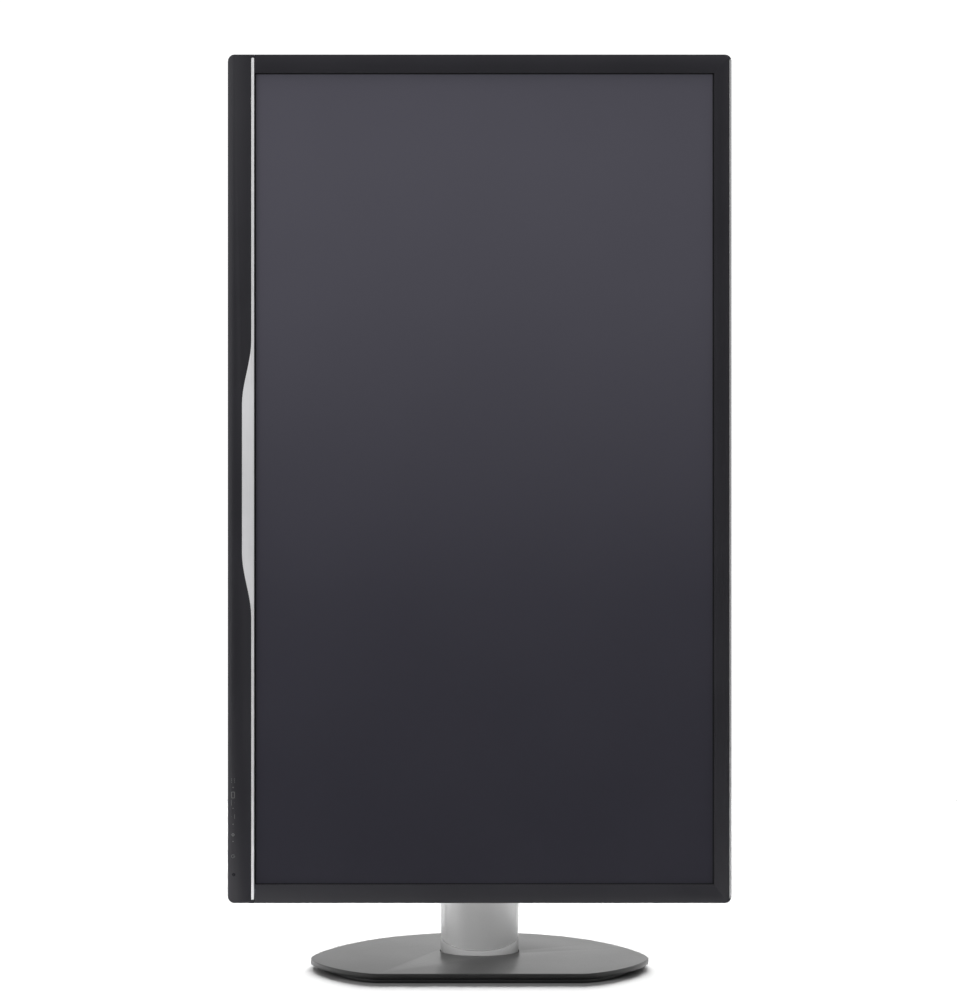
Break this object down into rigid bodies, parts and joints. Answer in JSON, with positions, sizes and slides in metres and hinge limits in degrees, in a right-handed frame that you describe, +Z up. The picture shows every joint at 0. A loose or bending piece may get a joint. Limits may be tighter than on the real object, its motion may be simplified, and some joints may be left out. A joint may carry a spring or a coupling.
{
  "type": "computer monitor",
  "caption": "Flat desktop monitor, display upright on a round column that swivels, lifts, tilts and pivots, over a low oval metal base.",
  "frame": {"origin": "on the table, under the middle of the base's plan", "axes": "+Z up, -Y out of the screen towards the viewer, +X to the viewer's right; display upright, pivot at 0"},
  "size_m": [0.4406, 0.2746, 0.8095],
  "materials": {
    "base_metal": "black satin lacquer on die-cast metal, which mirrors its surroundings at low angles",
    "plinth_plastic": "fine matt black",
    "steel": "zinc-plated sheet and bar",
    "rubber": "matt black",
    "nylon": "natural nylon",
    "column_metal": "fine satin silver",
    "head_plastic": "black, finely grained",
    "bezel_plastic": "black, fine matt grain",
    "rear_plastic": "black, spark-eroded grain",
    "silver_trim": "bright satin silver",
    "screen_glass": "dark hard-coated antiglare film over the glass",
    "clear_sheet": "milky acrylic",
    "board": "green solder mask",
    "socket_shell": "nickel-plated shells",
    "inlet_plastic": "black",
    "button_plastic": "black, satin"
  },
  "bodies": {
    "base": {"base_cover": "base_metal", "base_plinth": "plinth_plastic", "base_weight": "steel", "foot_1": "rubber", "foot_2": "rubber", "foot_3": "rubber", "foot_4": "rubber", "swivel_spindle": "steel", "swivel_nut": "steel", "swivel_washer": "nylon"},
    "column": {"column_sleeve": "column_metal", "swivel_collar": "column_metal", "column_bush": "nylon", "guide_rail": "steel", "spring_drum": "nylon", "lift_spring": "steel"},
    "post": {"lift_post": "column_metal", "post_slider": "nylon", "head_bracket": "steel", "head_cover": "head_plastic", "tilt_shaft": "steel", "tilt_washer_left": "nylon", "tilt_washer_right": "nylon"},
    "head": {"tilt_head": "head_plastic", "pivot_washer": "nylon"},
    "display": {"rear_cover": "rear_plastic", "bezel_frame": "bezel_plastic", "bezel_chin": "bezel_plastic", "accent_strip": "silver_trim", "top_trim": "silver_trim", "lcd_glass": "screen_glass", "diffuser_sheet": "clear_sheet", "light_guide": "clear_sheet", "led_strip": "clear_sheet", "backlight_pan": "steel", "mount_bracket": "steel", "vesa_plate": "steel", "pivot_spindle": "steel", "pivot_nut": "steel", "plate_screw_1": "steel", "plate_screw_2": "steel", "plate_screw_3": "steel", "plate_screw_4": "steel", "socket_bay": "rear_plastic", "hdmi_socket_1": "socket_shell", "hdmi_socket_2": "socket_shell", "display_socket": "socket_shell", "usb_hub_inlet": "socket_shell", "usb_socket_1": "socket_shell", "usb_socket_2": "socket_shell", "audio_jack": "socket_shell", "power_inlet": "inlet_plastic", "main_board": "board", "power_board": "board", "key_board": "board"},
    "menu_button_1_body": {"menu_button_1": "button_plastic"},
    "menu_button_2_body": {"menu_button_2": "button_plastic"},
    "menu_button_3_body": {"menu_button_3": "button_plastic"},
    "menu_button_4_body": {"menu_button_4": "button_plastic"},
    "power_button_body": {"power_button": "button_plastic"}
  },
  "joints": [
    {"name": "swivel", "type": "hinge", "parent": "base", "child": "column", "pos_m": [0, 0.011, 0.0085], "axis": [0, 0, 1], "range_deg": [-170, 170]},
    {"name": "height", "type": "slide", "parent": "column", "child": "post", "axis": [0, 0, 1], "range_m": [-0.05, 0]},
    {"name": "tilt", "type": "hinge", "parent": "post", "child": "head", "pos_m": [0, -0.032, 0.4385], "axis": [-1, 0, 0], "range_deg": [-5, 20]},
    {"name": "pivot", "type": "hinge", "parent": "head", "child": "display", "pos_m": [0, -0.057, 0.4385], "axis": [0, -1, 0], "range_deg": [0, 90]},
    {"name": "menu_button_1_press", "type": "slide", "parent": "display", "child": "menu_button_1_body", "axis": [1, 0, 0], "range_m": [0, 0.0008], "stiffness_N_per_m": 500, "springref_m": -0.001},
    {"name": "menu_button_2_press", "type": "slide", "parent": "display", "child": "menu_button_2_body", "axis": [1, 0, 0], "range_m": [0, 0.0008], "stiffness_N_per_m": 500, "springref_m": -0.001},
    {"name": "menu_button_3_press", "type": "slide", "parent": "display", "child": "menu_button_3_body", "axis": [1, 0, 0], "range_m": [0, 0.0008], "stiffness_N_per_m": 500, "springref_m": -0.001},
    {"name": "menu_button_4_press", "type": "slide", "parent": "display", "child": "menu_button_4_body", "axis": [1, 0, 0], "range_m": [0, 0.0008], "stiffness_N_per_m": 500, "springref_m": -0.001},
    {"name": "power_button_press", "type": "slide", "parent": "display", "child": "power_button_body", "axis": [1, 0, 0], "range_m": [0, 0.0008], "stiffness_N_per_m": 500, "springref_m": -0.001}
  ]
}
